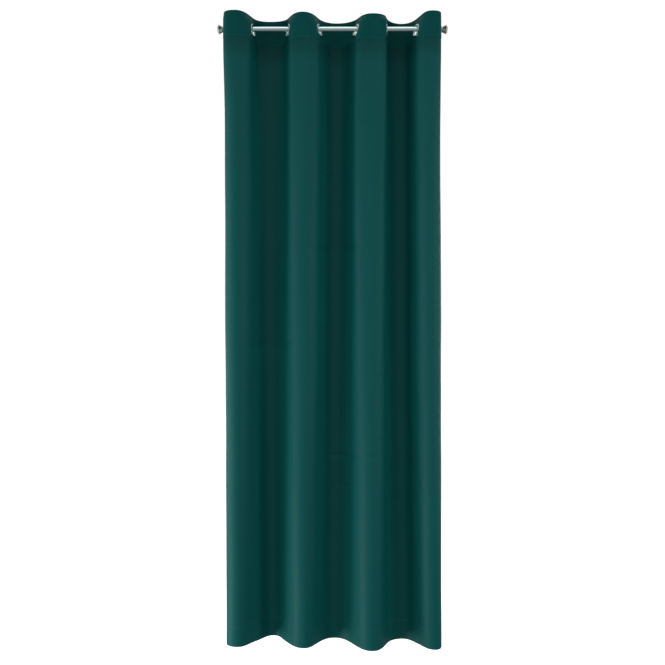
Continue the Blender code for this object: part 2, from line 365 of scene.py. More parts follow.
def hung_point(row, x_top, y_top, z):
    """Where a table's row lies at height z, from its place in the heading and its place at the hem."""
    down = drop_share(z)
    x = mix(x_top, row.x_hem, down) + row.mid_shift * math.sin(math.pi * down)
    return np.array((x, mix(y_top, row.y_hem, down)))


def fold_point(fold, z):
    """Where the fold turns at height z. The heading sways toward the wall as it goes down."""
    in_heading = min(max((TOP_EDGE_Z - z) / HEADING_HEIGHT, 0.0), 1.0)
    return hung_point(fold, fold.x_top, fold.y_top + HEADING_SWAY * in_heading, z)


def flank_point(flank, z):
    """The middle of the straight stretch between two folds at height z."""
    return hung_point(flank, flank.x_rod - flank.lean * max(z, HEADING_BOTTOM_Z), 0.0, z)


def edge_point(edge, z):
    return hung_point(edge, edge.x_top, edge.y_top, z)


# The terms of a cubic curve, from a bend's start, its end and the pulls at both
CUBIC_BEND = np.array(((1, 0, 0, 0), (0, 0, 1, 0), (-3, 3, -2, -1), (2, -2, 1, 1)))


def bend(start, start_run, end, end_run, shares, fullness):
    """Points and running directions along a smooth bend, at the given shares of it.

    The pull at both ends grows with the turn, so that a tight bend stays as round as folded cloth.
    """
    turn = math.acos(min(max(float(start_run @ end_run), -1.0), 1.0))
    pull = np.linalg.norm(end - start) * (1.0 + fullness * turn)
    terms = CUBIC_BEND @ np.array((start, end, start_run * pull, end_run * pull))
    powers = shares[:, None] ** np.arange(4)
    slopes = powers[:, :3] @ (terms[1:] * np.array(((1,), (2,), (3,))))
    return powers @ terms, unit(slopes)


def plan_curve(z):
    """Points and running directions of the cloth's middle line at height z, left edge to right edge."""
    shares = np.arange(CURVE_STEPS) / CURVE_STEPS
    half = flat_half(z)
    end_fullness = mix(END_FULLNESS, BEND_FULLNESS, softened(z))
    turns = [edge_point(EDGES[0], z), *(fold_point(fold, z) for fold in FOLDS), edge_point(EDGES[1], z)]
    pieces = []
    for index, flank in enumerate(FLANKS):
        run = flank_run(flank, z)
        centre = flank_point(flank, z)
        enter, leave = centre - run * half, centre + run * half
        before, after = turns[index], turns[index + 1]
        at_left, at_right = index == 0, index + 1 == len(FLANKS)
        run_before = unit(enter - before) if at_left else ALONG_ROD
        run_after = unit(after - leave) if at_right else ALONG_ROD
        full_before = end_fullness if at_right else BEND_FULLNESS
        full_after = end_fullness if at_left else BEND_FULLNESS
        pieces.append(bend(before, run_before, enter, run, shares, full_before))
        pieces.append((enter + np.outer(shares, leave - enter), np.tile(run, (CURVE_STEPS, 1))))
        pieces.append(bend(leave, run, after, run_after, shares, full_after))
    pieces.append((after[None], run_after[None]))
    points, runs = zip(*pieces)
    return np.concatenate(points), np.concatenate(runs)


def run_length(points):
    """The way along a line up to each of its points."""
    return np.concatenate([[0.0], np.cumsum(np.linalg.norm(np.diff(points, axis=0), axis=1))])


def between(places, along, rows):
    """The values at places on a line, from the rows of values at its own points."""
    return np.stack([np.interp(places, along, column) for column in rows.T], axis=-1)


def cloth_line(z):
    """Places across the flat cloth, points and running directions along the middle line at height z."""
    points, runs = plan_curve(z)
    along = run_length(points)
    return along * (CLOTH_WIDTH / along[-1]), points, runs


def ring_middle(flank):
    low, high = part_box(flank.name)
    return (low + high) / 2


def ring_across(index):
    """The place across the flat cloth where an eyelet's middle lies."""
    along, _, _ = cloth_line(ring_middle(FLANKS[index]).z)
    return along[(3 * index + 1) * CURVE_STEPS + CURVE_STEPS // 2]


def cloth_places(heights, across):
    """Points and normals toward the room where each height meets each place across the cloth."""
    points, runs = [], []
    for z in heights:
        along, line, line_runs = cloth_line(z)
        points.append(between(across, along, line))
        runs.append(between(across, along, line_runs))
    runs = unit(np.array(runs))
    return np.array(points), np.stack([runs[..., 1], -runs[..., 0]], axis=-1)


def spread(low, high, coarse, bands):
    """Places from low to high, about a coarse step apart and closer in the bands.

    A band is its middle, half its width and the step inside it. Beside it the step grows evenly.
    """
    fine = np.linspace(low, high, 40001)
    step = np.full_like(fine, coarse)
    for middle, half, inside in bands:
        outside = np.maximum(abs(fine - middle) - half, 0.0)
        step = np.minimum(step, inside + SPACING_GROWTH * outside)
    count = np.concatenate([[0.0], np.cumsum(2 * np.diff(fine) / (step[1:] + step[:-1]))])
    return np.interp(np.linspace(0.0, count[-1], math.ceil(count[-1]) + 1), count, fine)


def edge_round(radius, *distances):
    """Share of the half thickness that rounded edges leave at the distances from them."""
    share = 1.0
    for distance in distances:
        share = share * np.sqrt(1.0 - (1.0 - np.clip(distance / radius, 0.0, 1.0)) ** 2)
    return share


def pressed_relief(across, z):
    """How far the pressed creases and soft swells stand toward the room at each place of the cloth."""
    relief = np.zeros(np.broadcast(across, z).shape)
    for crease in CREASES:
        turn = math.radians(crease.angle)
        da = across - crease.across
        dz = z - crease.z
        along = da * math.cos(turn) + dz * math.sin(turn)
        aside = dz * math.cos(turn) - da * math.sin(turn)
        fading = (aside / crease.half_width) ** 2 + (along / crease.half_length) ** 4
        relief += crease.rise * np.exp(-fading)
    for swell in SWELLS:
        da = (across - swell.across) / swell.half_width
        dz = (z - swell.z) / swell.half_height
        relief += swell.rise * np.exp(-(da**2) - dz**2)
    return relief


def soft_unevenness(across, z):
    """Low swells all over the cloth, as gravity and storage leave them."""
    slow = np.sin(across * 21.0 + 1.7 * np.sin(z * 2.3)) * np.sin(z * 5.1 + 2.0 * np.sin(across * 5.0))
    quick = np.sin(across * 47.0 + z * 3.0 + 2.0 * np.sin(z * 4.1)) * np.sin(z * 11.0 + across * 9.0)
    return 0.0011 * slow + 0.0005 * quick


def new_object(name, data):
    obj = bpy.data.objects.new(name, data)
    bpy.context.scene.collection.objects.link(obj)
    return obj


def dress(obj, slot, *nodes):
    """Rides the piece on the part's body and hides the nodes that it stands for. The slot is not used."""
    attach(obj, "root")
    if nodes:
        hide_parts(*nodes)
    return obj


def quads(index):
    corners = [index[:-1, :-1], index[1:, :-1], index[1:, 1:], index[:-1, 1:]]
    return np.stack(corners, axis=-1).reshape(-1, 4)


def smooth_object(name, points, faces, material):
    mesh = bpy.data.meshes.new(name)
    mesh.from_pydata(points.tolist(), [], faces)
    mesh.shade_smooth()
    mesh.materials.append(material)
    return new_object(name, mesh)


def sheet_sides(form, settings, heights, across):
    """The room side and the wall side of a sheet at the given rows and columns, as x, y and z."""
    points, normals = cloth_places(heights, across)
    z = np.broadcast_to(heights[:, None, None], points.shape[:2] + (1,))
    relief, to_room, to_wall = form(settings, across[None, :], heights[:, None])
    offsets = (relief + to_room, relief - to_wall)
    return [np.concatenate([points + normals * offset[..., None], z], axis=-1) for offset in offsets]


def sheet_object(name, form, settings, heights, across, material):
    """A closed sheet whose two sides share the points of their outer rim."""
    room, wall = sheet_sides(form, settings, heights, across)
    rows, columns = room.shape[:2]
    room_index = np.arange(rows * columns).reshape(rows, columns)
    wall_index = room_index.copy()
    inner = np.arange((rows - 2) * (columns - 2)).reshape(rows - 2, columns - 2)
    wall_index[1:-1, 1:-1] = rows * columns + inner
    points = np.concatenate([room.reshape(-1, 3), wall[1:-1, 1:-1].reshape(-1, 3)])
    faces = np.concatenate([quads(room_index), quads(wall_index)[:, ::-1]])
    sheet = smooth_object(name, points, faces.tolist(), material)
    flat = np.stack(np.meshgrid(across, heights - HEM_Z), axis=-1)
    place = np.concatenate([flat.reshape(-1, 2), flat[1:-1, 1:-1].reshape(-1, 2)])
    layer = sheet.data.uv_layers.new(name="cloth_place")
    layer.data.foreach_set("uv", place[faces.ravel()].astype(np.float32).ravel())
    return sheet


def edge_bands(*places):
    return [(place, EDGE_ROUNDING, EDGE_STEP) for place in places]


def panel_grid(settings):
    """Heights and places across the cloth of the panel's mesh: close at its edges, seams and creases."""
    top = HEADING_BOTTOM_Z + settings.tuck
    side_seam = settings.side_hem - SEAM_INSET / 2
    levels = edge_bands(top, HEM_Z)
    levels.append((HEM_Z + settings.hem_depth - SEAM_INSET / 2, SEAM_INSET, SEAM_STEP))
    uprights = edge_bands(0.0, CLOTH_WIDTH)
    uprights += [(place, SEAM_INSET, SEAM_STEP) for place in (side_seam, CLOTH_WIDTH - side_seam)]
    for crease in CREASES:
        step = CREASE_STEP * crease.half_width
        if abs(crease.angle) < 45:
            levels.append((crease.z, 1.5 * crease.half_width, step))
        if abs(crease.angle) > 80:
            uprights.append((crease.across, crease.half_width, step))
    heights = spread(HEM_Z, top, PANEL_ROW_STEP, levels)[::-1]
    return heights, spread(0.0, CLOTH_WIDTH, PANEL_COLUMN_STEP, uprights)


def panel_form(settings, across, z):
    """The relief of the cloth below the heading, and its depth toward the room and toward the wall."""
    from_side = np.minimum(across, CLOTH_WIDTH - across)
    from_hem = z - HEM_Z
    from_top = HEADING_BOTTOM_Z + settings.tuck - z
    in_hem, seam = 0.0, 0.0
    for inside in (settings.hem_depth - from_hem, settings.side_hem - from_side):
        in_hem = np.maximum(in_hem, soft_step(inside / SEAM_HALF_WIDTH + 0.5))
        seam = np.maximum(seam, np.exp(-(((inside - SEAM_INSET) / SEAM_HALF_WIDTH) ** 2)))
    rim = edge_round(EDGE_ROUNDING, from_side, from_hem, from_top)
    gathers = GATHER_DEPTH * np.sin(across * 190.0 + 1.4 * np.sin(across * 23.0))
    gathers = gathers * np.exp(-(((z - HEADING_BOTTOM_Z) / GATHER_HEIGHT) ** 2))
    relief = (pressed_relief(across, z) + soft_unevenness(across, z)) * settings.relief
    relief = relief * soft_step((HEADING_BOTTOM_Z - z) / CREASE_FADE_HEIGHT) + gathers
    depth = settings.thickness / 2 - PANEL_SEAM_DIP * seam
    return relief, depth * rim, (depth + HEM_LAYER * settings.thickness * in_hem) * rim


def heading_grid(settings):
    """Heights and places across the cloth of the heading's mesh: close at its edges and its seam."""
    levels = edge_bands(TOP_EDGE_Z, HEADING_BOTTOM_Z)
    levels.append((HEADING_BOTTOM_Z + settings.seam_inset, SEAM_HALF_WIDTH, SEAM_STEP))
    heights = spread(HEADING_BOTTOM_Z, TOP_EDGE_Z, HEADING_ROW_STEP, levels)[::-1]
    return heights, spread(0.0, CLOTH_WIDTH, HEADING_COLUMN_STEP, edge_bands(0.0, CLOTH_WIDTH))


def heading_form(settings, across, z):
    """The relief of the stiffened band, and its depth toward the room and toward the wall."""
    half = settings.thickness / 2
    from_side = np.minimum(across, CLOTH_WIDTH - across)
    rim = edge_round(half, from_side, TOP_EDGE_Z - z, z - HEADING_BOTTOM_Z)
    from_seam = z - HEADING_BOTTOM_Z - settings.seam_inset
    ripple = np.sin(across * 430.0 + 2.0 * np.sin(across * 31.0))
    relief = RIPPLE_DEPTH * ripple * np.exp(-((from_seam / RIPPLE_HEIGHT) ** 2))
    for index, flank in enumerate(FLANKS):
        da = across - ring_across(index)
        dz = z - ring_middle(flank).z
        away = np.hypot(da, dz)
        pull = soft_step((away - PULL_START) / PULL_START_WIDTH)
        pull = pull * soft_step((PULL_END - away) / PULL_END_WIDTH)
        relief = relief + PULL_DEPTH * pull * np.cos(PULL_FOLDS * np.arctan2(dz, da) + index)
    depth = (half - HEADING_SEAM_DIP * np.exp(-((from_seam / SEAM_HALF_WIDTH) ** 2))) * rim
    return relief, depth, depth


def ring_matrix(flank):
    """Lays a ring's X along the cloth, its Y up the cloth and its Z through it, at the eyelet's middle."""
    along = Vector((*direction(flank.turn_rod), 0.0))
    through = along.cross(Vector((-flank.lean, 0.0, 1.0))).normalized()
    turn = Matrix((along, through.cross(along), through)).transposed()
    return Matrix.Translation(ring_middle(flank)) @ turn.to_4x4()


# The terms of a cubic curve between the middle two of four points in a row
THROUGH_POINTS = np.array(((0, 2, 0, 0), (-1, 0, 1, 0), (2, -5, 4, -1), (-1, 3, -3, 1))) / 2


def smooth_outline(points, steps):
    """A smooth curve through the points, with steps between each two of them."""
    padded = np.array((points[0], *points, points[-1]))
    powers = (np.arange(steps) / steps)[:, None] ** np.arange(4)
    rows = [powers @ THROUGH_POINTS @ padded[first:first + 4] for first in range(len(points) - 1)]
    return [tuple(row) for row in np.concatenate(rows)] + [points[-1]]


def turned_mesh(name, outline, segments, material, closed=False, sharp_angle=40.0):
    """An outline of (radius, height) turned once round Z. Points on the axis close the piece."""
    work = bmesh.new()
    turns = [2 * math.pi * step / segments for step in range(segments)]
    rings = []
    for radius, height in outline:
        if radius < 1e-6:
            rings.append([work.verts.new((0.0, 0.0, height))] * segments)
            continue
        rings.append([work.verts.new((radius * math.cos(a), radius * math.sin(a), height)) for a in turns])
    pairs = list(zip(rings, rings[1:]))
    if closed:
        pairs.append((rings[-1], rings[0]))
    for lower, upper in pairs:
        for step in range(segments):
            after = (step + 1) % segments
            work.faces.new(list(dict.fromkeys((lower[step], lower[after], upper[after], upper[step]))))
    bmesh.ops.recalc_face_normals(work, faces=work.faces)
    mesh = bpy.data.meshes.new(name)
    work.to_mesh(mesh)
    work.free()
    mesh.shade_smooth()
    mesh.set_sharp_from_angle(angle=math.radians(sharp_angle))
    mesh.materials.append(material)
    return mesh


def thread_template(settings, sides=5):
    """Points and faces of one stitch along X: a short rounded run of thread that dips at its ends."""
    half = settings.length / 2
    rings = ((-half, 0.45, -0.9), (-0.62 * half, 0.95, 0.1), (0.62 * half, 0.95, 0.1), (half, 0.45, -0.9))
    points = []
    for along, size, lift in rings:
        for step in range(sides):
            turn = 2 * math.pi * step / sides
            aside, up = size * math.cos(turn), 0.8 * size * math.sin(turn) + lift
            points.append((along, settings.radius * aside, settings.radius * up))
    faces = [tuple(reversed(range(sides)))]
    for low in range(0, len(points) - sides, sides):
        for step in range(sides):
            after = (step + 1) % sides
            faces.append((low + step, low + after, low + sides + after, low + sides + step))
    faces.append(tuple(range(len(points) - sides, len(points))))
    return np.array(points), faces


def stitch_points(line, normals, template, settings):
    """Points of each stitch along a line of sewing that lies on the cloth."""
    along = run_length(line)
    pitch = settings.length + settings.gap
    middles = np.arange(pitch, along[-1] - pitch, pitch)
    starts = between(middles - pitch / 2, along, line)
    ends = between(middles + pitch / 2, along, line)
    run = unit(ends - starts)
    side = unit(np.cross(between(middles, along, normals), run))
    axes = np.stack([run, side, np.cross(run, side)], axis=1)
    return (starts + ends)[:, None] / 2 + template @ axes


def stitch_object(name, runs, settings, material):
    """One mesh of all the stitches along several lines of sewing."""
    template, template_faces = thread_template(settings)
    points = np.concatenate([stitch_points(*run, template, settings) for run in runs]).reshape(-1, 3)
    faces = [
        tuple(first + corner for corner in face)
        for first in range(0, len(points), len(template))
        for face in template_faces
    ]
    return smooth_object(name, points, faces, material)


def seam_runs(form, settings, heights, columns, seam, level):
    """The lines of sewing on both sides of a sheet, each with the directions in which that side faces.

    A level seam runs across all columns at one height, and a steep one runs down all heights at one
    place across the cloth.
    """
    beside = np.array((seam + 0.001, seam, seam - 0.001))
    if level:
        grids = sheet_sides(form, settings, beside, columns[SEAM_ENDS:-SEAM_ENDS])
    else:
        grids = sheet_sides(form, settings, heights[SEAM_ENDS:-SEAM_ENDS], beside[::-1])
    middle = np.s_[1, :] if level else np.s_[:, 1]
    runs = []
    for grid, sign in zip(grids, (1.0, -1.0)):
        out = unit(np.cross(np.gradient(grid, axis=0), np.gradient(grid, axis=1))) * sign
        runs.append((grid[middle], out[middle]))
    return runs


def feed(tree, node, inputs):
    """Sets a node's inputs, each to a value of its own or to another node's socket."""
    for name, value in inputs.items():
        if isinstance(value, bpy.types.NodeSocket):
            tree.links.new(value, node.inputs[name])
        else:
            node.inputs[name].default_value = value


def add_node(tree, kind, inputs, **options):
    node = tree.nodes.new(f"ShaderNode{kind}")
    for name, value in options.items():
        setattr(node, name, value)
    feed(tree, node, inputs)
    return node


def math_node(tree, operation, *values, clamp=False):
    inputs = dict(enumerate(values))
    return add_node(tree, "Math", inputs, operation=operation, use_clamp=clamp).outputs[0]


def level_ramp(tree, height, levels):
    """The level at a height from 0 to 1, between even steps."""
    node = add_node(tree, "ValToRGB", {"Fac": height})
    elements = node.color_ramp.elements
    last = len(levels) - 1
    for index in range(1, last):
        elements.new(index / last)
    for element, level in zip(elements, levels):
        element.color = (level, level, level, 1.0)
    return node.outputs["Color"]


def ramp_node(tree, value, low, high, start, end):
    """The value moved from the range low to high to the range start to end, softly and clamped."""
    inputs = {"Value": value, "From Min": low, "From Max": high, "To Min": start, "To Max": end}
    return add_node(tree, "MapRange", inputs, interpolation_type="SMOOTHSTEP").outputs["Result"]


def noise_node(tree, place, scale, detail=2.0, roughness=0.5):
    inputs = {"Vector": place, "Scale": scale, "Detail": detail, "Roughness": roughness}
    return add_node(tree, "TexNoise", inputs).outputs["Fac"]


def mix_colours(tree, share, *colours):
    first, second = (
        colour if isinstance(colour, bpy.types.NodeSocket) else (*colour, 1.0) for colour in colours
    )
    return add_node(tree, "Mix", {0: share, 6: first, 7: second}, data_type="RGBA").outputs[2]


def satin_weave(tree, entry):
    """Satin weave: long warp floats crossed by single weft threads, shifted from row to row."""
    calc = partial(math_node, tree)
    split = add_node(tree, "SeparateXYZ", {0: entry["Place"]}).outputs
    warp_count = calc("DIVIDE", split["X"], entry["Thread Pitch"])
    weft_count = calc("DIVIDE", split["Y"], entry["Thread Pitch"])
    shifted = calc("MULTIPLY_ADD", calc("FLOOR", weft_count), 2.0, calc("FLOOR", warp_count))
    in_float = calc("FLOORED_MODULO", shifted, entry["Threads In Float"])
    weft_mask = calc("LESS_THAN", in_float, 0.5)
    turns = (calc("MULTIPLY", count, math.pi) for count in (warp_count, weft_count))
    warp_round, weft_round = (calc("ABSOLUTE", calc("SINE", turn)) for turn in turns)
    from_warp = calc("MULTIPLY", warp_round, calc("SUBTRACT", 1.0, weft_mask))
    from_weft = calc("MULTIPLY", calc("MULTIPLY", weft_round, 0.8), weft_mask)
    return {"Height": calc("ADD", from_warp, from_weft), "Weft": weft_mask}


def streaks(tree, entry):
    """Long soft streaks, such as thick and thin yarn in cloth or the drawn grain of metal."""
    factors = {0: entry["Place"], 1: entry["Streaks Per Metre"]}
    place = add_node(tree, "VectorMath", factors, operation="MULTIPLY").outputs[0]
    streak = noise_node(tree, place, 1.0, detail=3.0, roughness=0.6)
    return {"Streak": ramp_node(tree, streak, 0.3, 0.7, 0.0, 1.0)}


def fine_marks(tree, entry):
    """Small scattered marks with soft edges, such as lint on cloth or handling marks on metal."""
    calc = partial(math_node, tree)
    cloud = noise_node(tree, entry["Place"], entry["Marks Per Metre"], 4.0, 0.65)
    level = calc("SUBTRACT", 0.75, calc("MULTIPLY", entry["Amount"], 0.4))
    return {"Mask": calc("MULTIPLY", calc("SUBTRACT", cloud, level), 9.0, clamp=True)}


# The node groups that the materials share: the nodes inside each, and its inputs with their defaults
ORIGIN = (0.0, 0.0, 0.0)
EFFECTS = {
    "Satin Weave": (satin_weave, {"Place": ORIGIN, "Thread Pitch": 0.0005, "Threads In Float": 5.0}),
    "Streaks": (streaks, {"Place": ORIGIN, "Streaks Per Metre": (1.0, 1.0, 1.0)}),
    "Fine Marks": (fine_marks, {"Place": ORIGIN, "Marks Per Metre": 100.0, "Amount": 0.1}),
}


def effect_group(name):
    """The node group of an effect, built once with its named inputs and outputs."""
    if name in bpy.data.node_groups:
        return bpy.data.node_groups[name]
    tree = bpy.data.node_groups.new(name, "ShaderNodeTree")
    nodes_inside, inputs = EFFECTS[name]
    for socket_name, value in inputs.items():
        kind = "NodeSocketVector" if isinstance(value, tuple) else "NodeSocketFloat"
        socket = tree.interface.new_socket(socket_name, in_out="INPUT", socket_type=kind)
        socket.default_value = value
    outputs = nodes_inside(tree, tree.nodes.new("NodeGroupInput").outputs)
    for socket_name in outputs:
        tree.interface.new_socket(socket_name, in_out="OUTPUT", socket_type="NodeSocketFloat")
    feed(tree, tree.nodes.new("NodeGroupOutput"), outputs)
    return tree


def effect(tree, name, place, values):
    """The outputs of an effect that is placed in a material with its own values."""
    return add_node(tree, "Group", {"Place": place, **values}, node_tree=effect_group(name)).outputs


def new_material(name):
    material = bpy.data.materials.new(name)
    material.use_nodes = True
    return material, material.node_tree


def with_looks(material, looks):
    """The material after its shader's inputs are set or linked."""
    feed(material.node_tree, material.node_tree.nodes["Principled BSDF"], looks)
    return material


def on_object(tree):
    return add_node(tree, "TexCoord", {}).outputs["Object"]


def bumped(tree, height, strength, distance):
    inputs = {"Strength": strength, "Distance": distance, "Height": height}
    return add_node(tree, "Bump", inputs).outputs["Normal"]


def cloth_material(name, settings, painted_shade_height=0.0):
    """Dense satin-woven blackout cloth with thick and thin yarn and a little lint.

    Over a given height below the heading its colour is darkened, as a painted shade of the heading.
    """
    material, tree = new_material(name)
    calc = partial(math_node, tree)
    place = add_node(tree, "UVMap", {}, uv_map="cloth_place").outputs["UV"]
    weave = effect(tree, "Satin Weave", place, {"Thread Pitch": 0.0005})
    weft_yarn = effect(tree, "Streaks", place, {"Streaks Per Metre": (9.0, 900.0, 1.0)})["Streak"]
    warp_yarn = effect(tree, "Streaks", place, {"Streaks Per Metre": (700.0, 4.0, 1.0)})["Streak"]
    lint = effect(tree, "Fine Marks", place, {"Marks Per Metre": 420.0, "Amount": 0.05})["Mask"]
    broad = noise_node(tree, place, 3.5, detail=3.0)
    colour = np.array(settings.colour)
    yarn = calc("ADD", weft_yarn, warp_yarn)
    tone = calc("MULTIPLY", calc("ADD", yarn, broad), 0.3)
    shown = mix_colours(tree, calc("MULTIPLY", weave["Weft"], 0.5), colour, 0.84 * colour)
    shown = mix_colours(tree, tone, shown, 1.12 * colour + 0.0006)
    shown = mix_colours(tree, calc("MULTIPLY", lint, 0.25), shown, 2.0 * colour + 0.003)
    # Painted shade: the colour darkens toward the heading's lower edge, standing in for the shade that the
    # heading casts.
    if painted_shade_height > 0.0:
        above_hem = add_node(tree, "SeparateXYZ", {0: place}).outputs["Y"]
        band_top = HEADING_BOTTOM_Z - HEM_Z
        heading_shade = ramp_node(tree, above_hem, band_top - painted_shade_height, band_top, 0.0, 1.0)
        shown = mix_colours(tree, heading_shade, shown, 0.74 * colour)
    height = calc("MULTIPLY_ADD", weft_yarn, 0.5, weave["Height"])
    looks = {
        "Base Color": shown,
        "Roughness": ramp_node(tree, calc("MULTIPLY", yarn, 0.5), 0.0, 1.0, 0.48, 0.58),
        "Specular IOR Level": settings.shine,
        "Normal": bumped(tree, height, 0.35, 0.00015),
    }
    return with_looks(material, looks)


def thread_material(settings):
    """Twisted polyester sewing thread."""
    material, tree = new_material("sewing thread")
    streaks_per_metre = (2600.0, 2600.0, 1400.0)
    twist = effect(tree, "Streaks", on_object(tree), {"Streaks Per Metre": streaks_per_metre})["Streak"]
    colour = np.array(settings.colour)
    looks = {
        "Base Color": mix_colours(tree, twist, 0.7 * colour, colour),
        "Roughness": ramp_node(tree, twist, 0.0, 1.0, 0.38, 0.5),
        "Sheen Weight": 0.2,
        "Normal": bumped(tree, twist, 0.4, 0.0001),
    }
    return with_looks(material, looks)


def metal_material(name, settings, streaks_per_metre, streak_strength, marks_strength):
    """Metal with a drawn or polished grain and faint handling marks."""
    material, tree = new_material(name)
    place = on_object(tree)
    grain = effect(tree, "Streaks", place, {"Streaks Per Metre": streaks_per_metre})["Streak"]
    marks = effect(tree, "Fine Marks", place, {"Marks Per Metre": 60.0, "Amount": 0.4})["Mask"]
    colour = np.array(settings.colour)
    rough = math_node(tree, "MULTIPLY_ADD", grain, streak_strength, settings.roughness)
    looks = {
        "Base Color": mix_colours(tree, grain, 0.88 * colour, colour),
        "Roughness": math_node(tree, "MULTIPLY_ADD", marks, marks_strength, rough),
        "Metallic": 1.0,
        "Normal": bumped(tree, grain, 0.12, 0.00003),
    }
    return with_looks(material, looks)


def backdrop_material(settings):
    """Matt white studio paint that also glows a little, so that it stays even."""
    material, tree = new_material("studio paint")
    uneven = effect(tree, "Fine Marks", on_object(tree), {"Marks Per Metre": 2.0, "Amount": 0.5})["Mask"]
    colour = np.array(settings.backdrop)
    looks = {
        "Base Color": mix_colours(tree, uneven, colour, 0.985 * colour),
        "Roughness": 0.9,
        "Specular IOR Level": 0.1,
        "Emission Color": (1.0, 1.0, 1.0, 1.0),
        "Emission Strength": settings.glow,
    }
    return with_looks(material, looks)


def soft_light(name, place, target, width, height, power):
    """A rectangular soft light that faces its target and doesn't show itself."""
    light = bpy.data.lights.new(name, "AREA")
    light.shape = "RECTANGLE"
    light.size = width
    light.size_y = height
    light.energy = power
    obj = new_object(name, light)
    obj.location = place
    obj.rotation_euler = (Vector(target) - Vector(place)).to_track_quat("-Z", "Y").to_euler()
    obj.visible_camera = False
    return obj


class CURTAIN_OT_cut_rod(bpy.types.Operator):
    """Cuts the round rod that the curtain hangs on"""

    bl_idname = "curtain.cut_rod"
    bl_label = "Cut the rod"

    def execute(self, context):
        settings = context.scene.curtain_rod
        chamfer = 0.0004
        end = [
            (ROD_RADIUS, ROD_HALF_LENGTH - chamfer),
            (ROD_RADIUS - chamfer, ROD_HALF_LENGTH),
            (0.0, ROD_HALF_LENGTH),
        ]
        outline = [(radius, -along) for radius, along in reversed(end)] + end
        finish = metal_material("satin steel", settings, (900.0, 900.0, 14.0), 0.08, 0.05)
        rod = new_object("curtain_rod", turned_mesh("curtain_rod", outline, ROD_STEPS, finish))
        rod.rotation_euler = (0.0, math.radians(90), 0.0)
        dress(rod, "rod_metal", "rod")
        return {"FINISHED"}


class CURTAIN_OT_fit_knobs(bpy.types.Operator):
    """Fits a flared knob on each end of the rod"""

    bl_idname = "curtain.fit_knobs"
    bl_label = "Fit the end knobs"

    def execute(self, context):
        settings = context.scene.curtain_knob
        inner = KNOB_LOW.x
        length = KNOB_HIGH.x - inner
        rim_radius = KNOB_HIGH.z
        neck_radius = 0.0117
        dome_start = 0.0180
        fit_gap = 0.0003
        socket_depth = ROD_HALF_LENGTH - inner + fit_gap
        outline = [(0.0, socket_depth), (ROD_RADIUS + fit_gap, socket_depth), (ROD_RADIUS + fit_gap, 0.0)]
        outline += [(neck_radius - 0.0006, 0.0), (neck_radius - 0.0001, 0.0004), (neck_radius, 0.0010)]
        outline += [(neck_radius, 0.0054), (neck_radius + 0.0002, 0.0060)]
        outline += [(0.0176, 0.0163), (0.0183, 0.0170)]
        for turn in np.linspace(0.0, math.pi / 2, 15)[:-1]:
            out = dome_start + (length - dome_start) * math.sin(turn)
            outline.append((rim_radius * math.cos(turn), out))
        outline.append((0.0, length))
        outline = [(radius, inner + out) for radius, out in outline]
        finish = metal_material("dark nickel", settings, (500.0, 500.0, 2500.0), 0.05, 0.08)
        mesh = turned_mesh("end_knob", outline, KNOB_STEPS, finish)
        for side, quarter_turn in (("left", -90), ("right", 90)):
            knob = new_object(f"end_knob_{side}", mesh)
            knob.rotation_euler = (0.0, math.radians(quarter_turn), 0.0)
            dress(knob, "knob_metal", f"finial_{side}")
        return {"FINISHED"}


class CURTAIN_OT_press_rings(bpy.types.Operator):
    """Presses the eight metal rings through the heading"""

    bl_idname = "curtain.press_rings"
    bl_label = "Press in the eyelet rings"

    def execute(self, context):
        settings = context.scene.curtain_ring
        half = smooth_outline(RING_OUTLINE, 3) + list(RING_RIM)
        other = [(radius, -height) for radius, height in reversed(half[1:])]
        finish = metal_material("polished chrome", settings, (300.0, 300.0, 3000.0), 0.05, 0.10)
        mesh = turned_mesh("eyelet_ring", half + other, RING_STEPS, finish, True, 50.0)
        for number, flank in enumerate(FLANKS, start=1):
            ring = new_object(f"eyelet_ring_{number}", mesh)
            ring.matrix_world = ring_matrix(flank)
            dress(ring, "ring_metal", flank.name)
        return {"FINISHED"}


class CURTAIN_OT_sew_heading(bpy.types.Operator):
    """Sews the stiffened heading band and cuts its round holes"""

    bl_idname = "curtain.sew_heading"
    bl_label = "Sew the heading"

    def execute(self, context):
        settings = context.scene.curtain_heading
        finish = cloth_material("stiffened heading cloth", settings)
        band = sheet_object("heading_band", heading_form, settings, *heading_grid(settings), finish)
        work = bmesh.new()
        size = {"segments": HOLE_STEPS, "radius1": RING_HOLE_RADIUS, "radius2": RING_HOLE_RADIUS}
        size["depth"] = 4 * settings.thickness
        for flank in FLANKS:
            bmesh.ops.create_cone(work, cap_ends=True, matrix=ring_matrix(flank), **size)
        mesh = bpy.data.meshes.new("hole_cutter")
        work.to_mesh(mesh)
        work.free()
        cutter = new_object("hole_cutter", mesh)
        cut = band.modifiers.new("holes", "BOOLEAN")
        cut.object = cutter
        cut.operation = "DIFFERENCE"
        cut.solver = "EXACT"
        evaluated = band.evaluated_get(context.evaluated_depsgraph_get())
        holed = bpy.data.meshes.new_from_object(evaluated)
        band.modifiers.clear()
        holed.shade_smooth()
        holed.set_sharp_from_angle(angle=math.radians(50))
        band.data = holed
        bpy.data.objects.remove(cutter, do_unlink=True)
        dress(band, "heading_cloth", "heading")
        return {"FINISHED"}


class CURTAIN_OT_hang_cloth(bpy.types.Operator):
    """Hangs the cloth below the heading, with its hems"""

    bl_idname = "curtain.hang_cloth"
    bl_label = "Hang the cloth"

    def execute(self, context):
        settings = context.scene.curtain_cloth
        # The cloth's material carries a painted shade below the heading.
        finish = cloth_material("blackout cloth", settings, settings.painted_shade_height)
        cloth = sheet_object("panel_cloth", panel_form, settings, *panel_grid(settings), finish)
        dress(cloth, "cloth", "curtain_panel")
        return {"FINISHED"}


